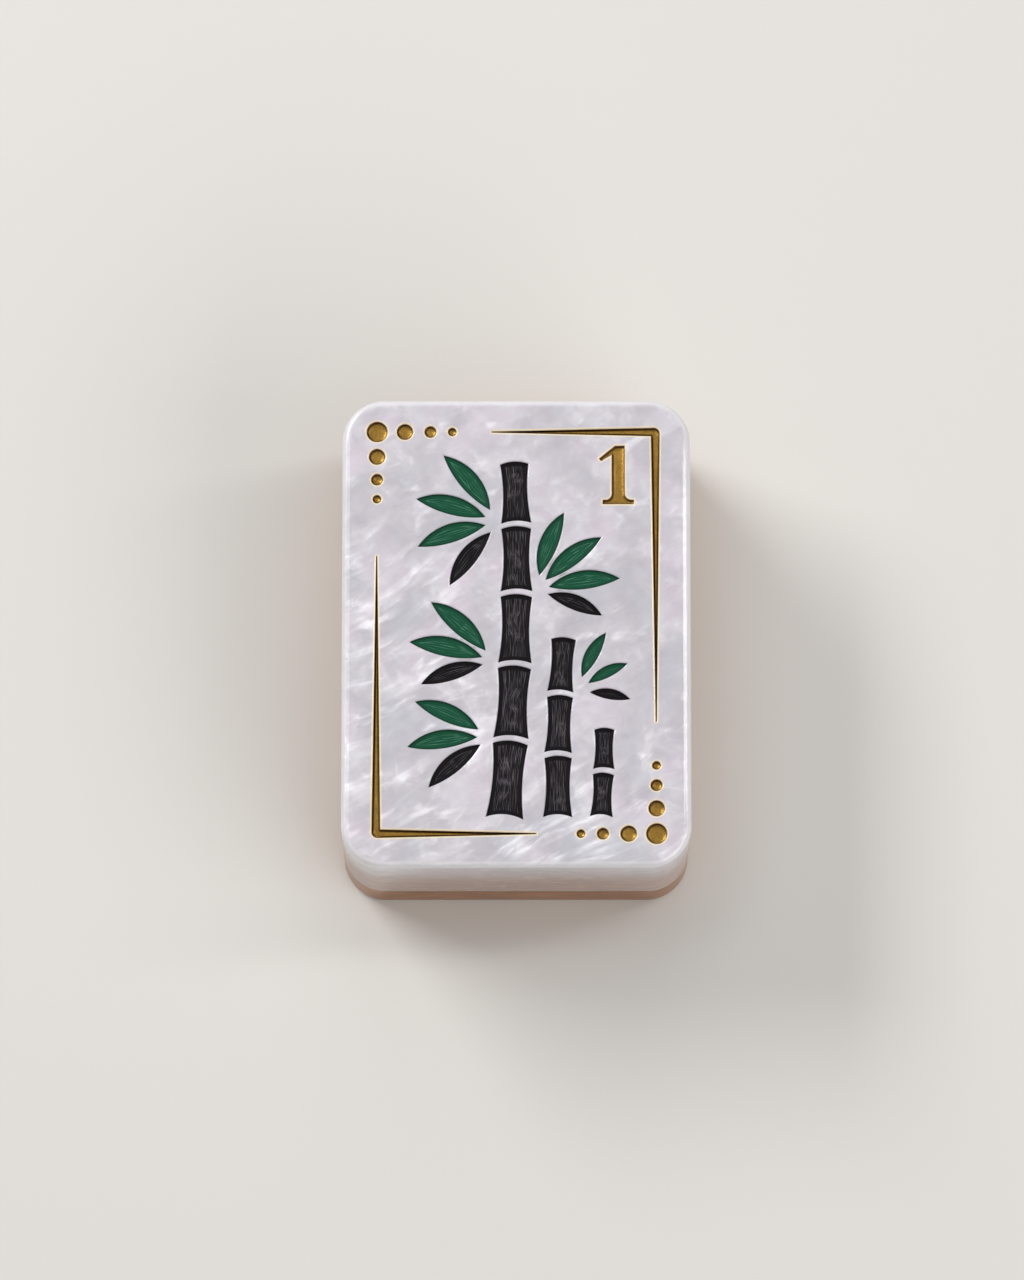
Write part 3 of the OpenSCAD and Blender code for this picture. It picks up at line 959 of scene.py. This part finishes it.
class Value:
    """A node's output socket. Maths on it reads as Python, and each operator adds a Math node."""

    def __init__(self, nodes, socket):
        self.nodes, self.socket = nodes, socket

    def maths(self, operation, *terms):
        return self.nodes.add("ShaderNodeMath", {"operation": operation}, dict(enumerate(terms)))

    def __add__(self, other):
        return self.maths("ADD", self, other)

    def __radd__(self, other):
        return self.maths("ADD", other, self)

    def __sub__(self, other):
        return self.maths("SUBTRACT", self, other)

    def __rsub__(self, other):
        return self.maths("SUBTRACT", other, self)

    def __mul__(self, other):
        return self.maths("MULTIPLY", self, other)

    def __abs__(self):
        return self.maths("ABSOLUTE", self)

    def between(self, low, high):
        """0 below low, 1 above high, and a smooth step from one to the other."""
        return self.nodes.add("ShaderNodeMapRange", {"interpolation_type": "SMOOTHSTEP"},
                              {"Value": self, "From Min": low, "From Max": high})

    def most(self, other):
        """The greater of two values."""
        return self.maths("MAXIMUM", self, other)


class Nodes:
    """The nodes of one finish, or of the world."""

    def __init__(self, owner):
        owner.use_nodes = True
        self.tree = owner.node_tree
        self.tree.nodes.clear()

    def add(self, kind, settings=None, sockets=None, output=0):
        """One node of a kind: its settings are set first, and then its sockets get values or links."""
        node = self.tree.nodes.new(kind)
        for name, value in (settings or {}).items():
            setattr(node, name, value)
        for key, value in (sockets or {}).items():
            if isinstance(value, Value):
                self.tree.links.new(value.socket, node.inputs[key])
            else:
                node.inputs[key].default_value = value
        return Value(self, node.outputs[output])

    def millimetres(self):
        """Places on the object, in millimetres."""
        place = self.add("ShaderNodeTexCoord", output="Object")
        return self.add("ShaderNodeVectorMath", {"operation": "SCALE"}, {0: place, "Scale": 1 / MM})

    def attribute(self, name, output="Fac"):
        return self.add("ShaderNodeAttribute", {"attribute_name": name}, output=output)

    def times_plus(self, place, factors, more):
        """A place multiplied axis by axis, with another one added."""
        return self.add("ShaderNodeVectorMath", {"operation": "MULTIPLY_ADD"}, {
            0: place, 1: factors, 2: more})

    def levelled(self, place, height, share):
        """A place whose distance from a height is divided by a share, so that a pattern lies there in level
        sheets."""
        return self.times_plus(place, (1, 1, 1 / share), (0, 0, height - height / share))

    def noise(self, place, scale=1, detail=2, roughness=0.5, output=0):
        """Noise from 0 to 1. A larger scale makes it finer."""
        return self.add("ShaderNodeTexNoise", None, {
            "Vector": place, "Scale": scale, "Detail": detail, "Roughness": roughness}, output)

    def grain(self, place, scales, degrees=0, detail=3, roughness=0.5):
        """Noise with a scale of its own along each axis of a place turned about the upright axis."""
        stretched = self.add("ShaderNodeMapping", {"vector_type": "TEXTURE"}, {
            "Vector": place,
            "Rotation": (0, 0, math.radians(degrees)),
            "Scale": [1 / scale for scale in scales],
        })
        return self.noise(stretched, 1, detail, roughness)

    def drifted(self, place, scale, reach, onto=None):
        """A place, or the one that it was made into, pushed about by slow noise, by up to the reach."""
        push = self.noise(place, scale, 1, output="Color")
        return self.times_plus(push, (reach, reach, reach), onto or place)

    def mix(self, factor, first, second, blend="MIX"):
        """A colour from the first, at 0, to the second, at 1. A Mix node takes colours at its inputs 6 and 7
        and gives one at its output 2."""
        return self.add("ShaderNodeMix", {"data_type": "RGBA", "blend_type": blend}, {
            0: factor, 6: paint(first), 7: paint(second)}, 2)

    def bump(self, height, distance, strength):
        return self.add("ShaderNodeBump", None, {
            "Height": height, "Distance": distance, "Strength": strength}, "Normal")

    def plastic(self, sockets):
        """The surface of a finish, joined to the material's output."""
        surface = self.add("ShaderNodeBsdfPrincipled", None, sockets)
        self.add_output("ShaderNodeOutputMaterial", surface)

    def add_output(self, kind, surface):
        node = self.tree.nodes.new(kind)
        self.tree.links.new(surface.socket, node.inputs["Surface"])


def paint(value):
    """A colour as a socket wants it: four numbers, or the link that it already is."""
    return value if isinstance(value, Value) else (*value, 1)


def finish_nodes(name):
    """A new material and its nodes."""
    material = bpy.data.materials.new(name)
    return material, Nodes(material)


def pearl_finish(colours):
    """Cast pearl acrylic: sheets of flakes folded through a pale ground, seen through a clear gloss. Soft
    clouds and a few bright patches lie all over. Bundles of streaks lie aslant, thickest toward the lower
    left. Toward the foot the pattern calms and darkens to a warm tone, partly a tint near the bronze and
    partly painted shade with a painted warm reflection. The rounded edges carry a painted highlight, and the
    rims of the gold pockets a painted reflection of the gold."""
    material, n = finish_nodes("pearl_acrylic")
    place = n.millimetres()
    across, along, height = (n.add("ShaderNodeSeparateXYZ", None, {0: place}, axis) for axis in "XYZ")
    sheets = n.levelled(place, FACE_HIGH.z / MM, SHEET_SHARE)
    bent = n.drifted(place, 0.08, 5, onto=sheets)
    clouds = n.noise(n.drifted(place, 0.25, 4), 0.3, 3)
    puffs = n.noise(n.drifted(place, 0.5, 1.8), 0.9, 3)
    threads = n.grain(bent, (0.4, 3.2, 0.5), 33, 2)
    folds = n.grain(n.drifted(place, 0.4, 2, onto=sheets), (0.45, 0.9, 0.3), 35)
    streaks = n.grain(bent, (0.14, 0.85, 0.25), 32)
    dashes = n.grain(n.drifted(bent, 0.5, 0.8), (0.3, 1.5, 0.4), 30, 3, 0.45)
    corner = n.noise(place, 0.13) + (across + along * 1.3) * -0.014
    thick = corner.between(0.42, 0.6)
    brushed = streaks.between(0.48, 0.74) * (0.25 + thick * 0.75)
    glints = folds.between(0.58, 0.78) * (0.3 + threads.between(0.35, 0.65) * 0.7)
    flecks = dashes.between(0.53, 0.76) * (0.1 + thick * 0.9)
    veins = (1 - abs(clouds - 0.52) * 22).most(0) * puffs.between(0.42, 0.6)
    light = (0.37 + (clouds - 0.5) * 0.85 + (puffs - 0.5) * 0.45
             + brushed * 0.3 + glints * 0.5 + flecks * 0.45 + veins * 0.12)
    tint = n.noise(n.drifted(place, 0.25, 3), 0.3, 3)
    ground = n.mix(light.between(0, 1.15), colours.pearl_shade, colours.pearl_light)
    rosy = n.mix(tint.between(0.5, 0.64) * 0.34, ground, colours.pearl_rose)
    misty = n.mix((1 - tint).between(0.54, 0.68) * 0.18, rosy, colours.pearl_sea)
    # The foot's multiply is partly a warm tint near the bronze and partly painted shade with a painted warm
    # reflection
    foot = 1 - height.between(*FOOT_TINT_AND_SHADE_HEIGHTS)
    calm = n.mix(foot * 0.45, misty, colours.pearl_calm)
    warm = n.mix(foot, calm, colours.pearl_foot_tint_and_shade, "MULTIPLY")
    # Painted highlight along the rounded edges, by the mark attribute
    edged = n.mix(n.attribute("mark") * 0.7, warm, colours.pearl_edge_highlight)
    n.plastic({
        # Painted reflection of the gold on the gold pockets' rims, by the rim attribute
        "Base Color": n.mix(n.attribute("rim") * 0.8, edged, colours.gold_rim_reflection),
        "Roughness": 0.5 - light * 0.15,
        "Normal": n.bump(streaks * 0.5 + folds * 0.5, 0.0008, 0.3),
        "Metallic": light.between(0.3, 1) * 0.2,
        "Coat Weight": 1 - foot * 0.6,
        "Coat Roughness": 0.07,
        "Coat IOR": 1.49,
        "IOR": 1.49,
    })
    return material


def bronze_finish(colours):
    """Cast bronze acrylic: metallic flakes in soft clouds and level folds, under a clear gloss."""
    material, n = finish_nodes("bronze_acrylic")
    place = n.millimetres()
    clouds = n.noise(n.drifted(place, 0.3, 3), 0.4, 3)
    folds = n.grain(n.drifted(place, 0.15, 4), (0.2, 0.5, 1.3), 20)
    flakes = n.noise(place, 10, 2, 0.6)
    light = 0.4 + (clouds - 0.5) * 0.5 + (folds - 0.5) * 0.35 + flakes.between(0.5, 0.75) * 0.3
    n.plastic({
        "Base Color": n.mix(light.between(0, 1), colours.bronze_shade, colours.bronze_light),
        "Roughness": 0.38 - light * 0.14,
        "Metallic": 0.35 + light * 0.4,
        "Specular IOR Level": 0.2,
        "Specular Tint": paint(colours.bronze_light),
        "Normal": n.bump(folds + flakes * 0.3, 0.0001, 0.3),
        "Coat Weight": 0.45,
        "Coat Roughness": 0.04,
    })
    return material


def cement_finish(colours):
    """Clear cement, cured between the slabs: smooth, with small cloudy specks."""
    material, n = finish_nodes("clear_cement")
    specks = n.noise(n.millimetres(), 2.5, 3, 0.6)
    n.plastic({
        "Base Color": n.mix(specks.between(0.35, 0.7) * 0.4, colours.cement, colours.pearl_foot_tint_and_shade),
        "Roughness": 0.25 + specks * 0.15,
        "Coat Weight": 0.5,
        "Normal": n.bump(specks, 0.00002, 0.5),
    })
    return material


def gold_finish(colours):
    """Gold paint: fine metal powder settled in a pool, with painted shade along the wall, widest toward the
    far left.
    """
    material, n = finish_nodes("gold_paint")
    place = n.millimetres()
    powder = n.noise(place, 8, 3, 0.65)
    cloud = n.noise(place, 1.3, 3)
    rim = n.attribute("rim")
    body = n.mix((powder - 0.5) * 1.1 + 0.25 + (cloud - 0.5) * 0.6, colours.gold, colours.gold_dark_tone_and_shade)
    # Painted shade along the wall, by its attribute
    n.plastic({
        "Base Color": n.mix(n.attribute("wash").between(0.3, 0.7), body, colours.gold_dark_tone_and_shade),
        "Metallic": 0.9,
        "Roughness": 0.38 + powder * 0.14 - rim.between(0.05, 0.4) * 0.22,
        "Normal": n.bump(powder + cloud * 0.3, 0.00004, 0.6),
    })
    return material


def enamel_finish(name, ground, highlight_and_grain, edge):
    """Coloured paint with fine engraved strokes: each stroke's floor is painted paler as a highlight, and its
    brushed grain along the form is paler too. A painted shade darkens the film at the wall."""
    material, n = finish_nodes(name)
    flow = n.attribute("flow", "Vector")
    grain = n.grain(flow, (1.6, 11, 1), detail=4, roughness=0.65)
    mottle = n.noise(flow, 2.4, 3, 0.6)
    stroke = n.attribute("mark")
    rim = n.attribute("rim")
    # The stroke floors' paleness is a painted highlight; the grain's and the mottle's is the paint's own tone
    pale = stroke * 0.85 + grain.between(0.5, 0.8) * 0.25 + (mottle - 0.5) * 0.2
    body = n.mix(pale.between(0, 1.1), ground, highlight_and_grain)
    n.plastic({
        # Painted shade along the wall, by the rim attribute
        "Base Color": n.mix(rim.between(0.05, 0.8) * 0.9, body, edge),
        "Roughness": 0.42 + grain * 0.2,
        "Specular IOR Level": 0.07,
        "Normal": n.bump(grain * 0.7 + mottle * 0.4, 0.00004, 0.5),
    })
    return material


# Stage

def studio_world(settings):
    """Soft light from all round, and a plain backdrop for the camera and for glossy and clear surfaces."""
    world = bpy.data.worlds.new("studio_world")
    bpy.context.scene.world = world
    n = Nodes(world)
    path = n.tree.nodes.new("ShaderNodeLightPath")
    camera, glossy, clear = (Value(n, path.outputs[f"Is {kind} Ray"])
                             for kind in ("Camera", "Glossy", "Transmission"))
    lit = n.add("ShaderNodeBackground", None, {"Color": (1, 1, 1, 1), "Strength": settings.world_level})
    shown = n.add("ShaderNodeBackground", None, {"Color": paint(settings.backdrop), "Strength": 1})
    both = n.add("ShaderNodeMixShader", None, {0: camera.most(glossy).most(clear), 1: lit, 2: shown})
    n.add_output("ShaderNodeOutputWorld", both)


def studio_lamp(name, direction, size, watts):
    """A soft rectangular lamp that faces the tile from a direction, with its width square to the Y axis."""
    lamp = bpy.data.lights.new(name, "AREA")
    lamp.shape = "RECTANGLE"
    lamp.size, lamp.size_y = size
    lamp.energy = watts
    hung = scene_object(name, lamp)
    way = Vector(direction).normalized()
    side = Vector((0, 1, 0)).cross(way).normalized()
    hung.location = way * LAMP_DISTANCE
    hung.rotation_euler = Matrix((side, way.cross(side), way)).transposed().to_euler()
    hung.visible_camera = False


def studio_camera(settings, face_z):
    """A long lens above the face, tilted so that it also sees the near wall."""
    camera = bpy.data.cameras.new("studio_camera")
    camera.lens = settings.lens
    camera.clip_start, camera.clip_end = CLIP_RANGE
    held = scene_object("studio_camera", camera)
    back = Vector((0, -math.sin(settings.tilt), math.cos(settings.tilt)))
    held.location = Vector((settings.aim_x, settings.aim_y, face_z)) + back * settings.distance
    held.rotation_euler = (settings.tilt, 0, 0)
    bpy.context.scene.camera = held


def studio_floor(settings):
    """A level floor at z = 0. Its grid's lines lie at half its size times the cube of their shares from -1
    to 1, so that the steps widen away from the tile."""
    line = settings.floor_size / 2 * np.linspace(-1, 1, FLOOR_LINES) ** 3
    x, y = np.meshgrid(line, line, indexing="ij")
    shell = Shell()
    shell.grid(np.stack([x, y, np.zeros_like(x)], axis=-1), len(line), len(line), 0)
    mesh = bpy.data.meshes.new("studio_floor")
    mesh.from_pydata(np.concatenate(shell.points).tolist(), [], shell.faces)
    floor = scene_object("studio_floor", mesh)
    material, n = finish_nodes("studio_floor")
    n.plastic({"Base Color": paint(settings.floor_colour), "Roughness": 0.9, "Specular IOR Level": 0.1})
    mesh.materials.append(material)


# Operators

def tile(context):
    """The tile's settings in this scene."""
    return context.scene.pearl_tile


class TILE_OT_studio(bpy.types.Operator):
    """Sets up the camera, the lamps, the backdrop and the floor"""
    bl_idname = "tile.studio"
    bl_label = "Studio"

    def execute(self, context):
        studio = tile(context).studio
        studio_camera(studio, tile(context).slab.face_z)
        studio_world(studio)
        for name, (direction, size) in LAMPS.items():
            studio_lamp(f"{name}_lamp", direction, size, getattr(studio, f"{name}_level"))
        studio_floor(studio)
        context.scene.view_settings.view_transform = "Standard"
        return {"FINISHED"}


class TILE_OT_face_slab(bpy.types.Operator):
    """Makes the pearl slab with its engraved pockets"""
    bl_idname = "tile.face_slab"
    bl_label = "Face slab"

    def execute(self, context):
        settings = tile(context)
        join_part(face_slab_mesh(settings), "face_slab", pearl_finish(settings.finish))
        return {"FINISHED"}


class TILE_OT_back_slab(bpy.types.Operator):
    """Makes the bronze slab behind the pearl one"""
    bl_idname = "tile.back_slab"
    bl_label = "Back slab"

    def execute(self, context):
        settings = tile(context)
        sizes = settings.slab
        mesh = plain_slab_mesh(settings, "back_slab_made", sizes.seam_low, sizes.seam_radius, sizes.back_z,
                               sizes.edge_radius)
        join_part(mesh, "back_slab", bronze_finish(settings.finish))
        return {"FINISHED"}


class TILE_OT_bond_film(bpy.types.Operator):
    """Makes the film of cement between the two slabs"""
    bl_idname = "tile.bond_film"
    bl_label = "Bond film"

    def execute(self, context):
        settings = tile(context)
        sizes = settings.slab
        radius = (sizes.seam_high - sizes.seam_low) * FILM_ROUNDING_SHARE
        mesh = plain_slab_mesh(settings, "bond_film_made", sizes.seam_high, radius, sizes.seam_low, radius)
        join_part(mesh, "bond_film", cement_finish(settings.finish))
        return {"FINISHED"}


class TILE_OT_gold_border(bpy.types.Operator):
    """Fills the dots, the corner rules and the numeral with gold paint"""
    bl_idname = "tile.gold_border"
    bl_label = "Gold border"

    def execute(self, context):
        settings = tile(context)
        gold = gold_finish(settings.finish)
        for group in (dots, corner_rules, numeral):
            for node, outline in group(settings).items():
                join_part(painted_mesh(settings, node, outline), node, gold)
        return {"FINISHED"}


class TILE_OT_canes(bpy.types.Operator):
    """Fills the lengths of the canes with black paint"""
    bl_idname = "tile.canes"
    bl_label = "Canes"

    def execute(self, context):
        settings = tile(context)
        finish = settings.finish
        black = enamel_finish("black_paint", finish.black, finish.black_highlight_and_grain, finish.black)
        random = np.random.default_rng(settings.bamboo.seed)
        for node, outline in canes(settings).items():
            join_part(painted_mesh(settings, node, outline, random), node, black)
        return {"FINISHED"}


class TILE_OT_leaves(bpy.types.Operator):
    """Fills the leaves with green paint, and the lowest leaf of each spray with black"""
    bl_idname = "tile.leaves"
    bl_label = "Leaves"

    def execute(self, context):
        settings = tile(context)
        finish = settings.finish
        black = bpy.data.objects["tall_cane_1_made"].active_material
        green = enamel_finish("green_paint", finish.green, finish.green_highlight_and_grain, finish.green_wall_shade)
        random = np.random.default_rng(settings.bamboo.seed + 1)
        lowest = {f"{name}_{len(rises)}" for name, rises in zip(SPRAY_NAMES, LEAF_DEGREES)}
        for node, outline in leaves(settings).items():
            mesh = painted_mesh(settings, node, outline, random)
            if node in lowest:
                join_part(mesh, node, black)
            else:
                join_part(mesh, node, green)
        return {"FINISHED"}


class TILE_PT_build(bpy.types.Panel):
    """Lists the steps that build the tile"""
    bl_idname = "TILE_PT_build"
    bl_label = "Engraved Pearl Tile"
    bl_space_type = "VIEW_3D"
    bl_region_type = "UI"
    bl_category = "Tile"

    def draw(self, context):
        for step in STEPS:
            self.layout.operator(step.bl_idname)
        for group in ("slab", "pocket", "border", "bamboo", "finish", "studio"):
            box = self.layout.box()
            box.label(text=group.capitalize())
            values = getattr(tile(context), group)
            for name in values.__annotations__:
                box.prop(values, name)


GROUPS = (SlabSizes, PocketSizes, BorderSizes, BambooSizes, FinishColours, StudioSettings, TileSettings)
STEPS = (TILE_OT_studio, TILE_OT_face_slab, TILE_OT_back_slab, TILE_OT_bond_film, TILE_OT_gold_border,
         TILE_OT_canes, TILE_OT_leaves)


def register():
    for kind in (*GROUPS, *STEPS, TILE_PT_build):
        bpy.utils.register_class(kind)
    bpy.types.Scene.pearl_tile = PointerProperty(type=TileSettings)


def unregister():
    del bpy.types.Scene.pearl_tile
    for kind in reversed((*GROUPS, *STEPS, TILE_PT_build)):
        bpy.utils.unregister_class(kind)


def main():
    register()
    bpy.ops.tile.studio()
    bpy.ops.tile.face_slab()
    bpy.ops.tile.back_slab()
    bpy.ops.tile.bond_film()
    bpy.ops.tile.gold_border()
    bpy.ops.tile.canes()
    bpy.ops.tile.leaves()


if __name__ == "__main__":
    main()
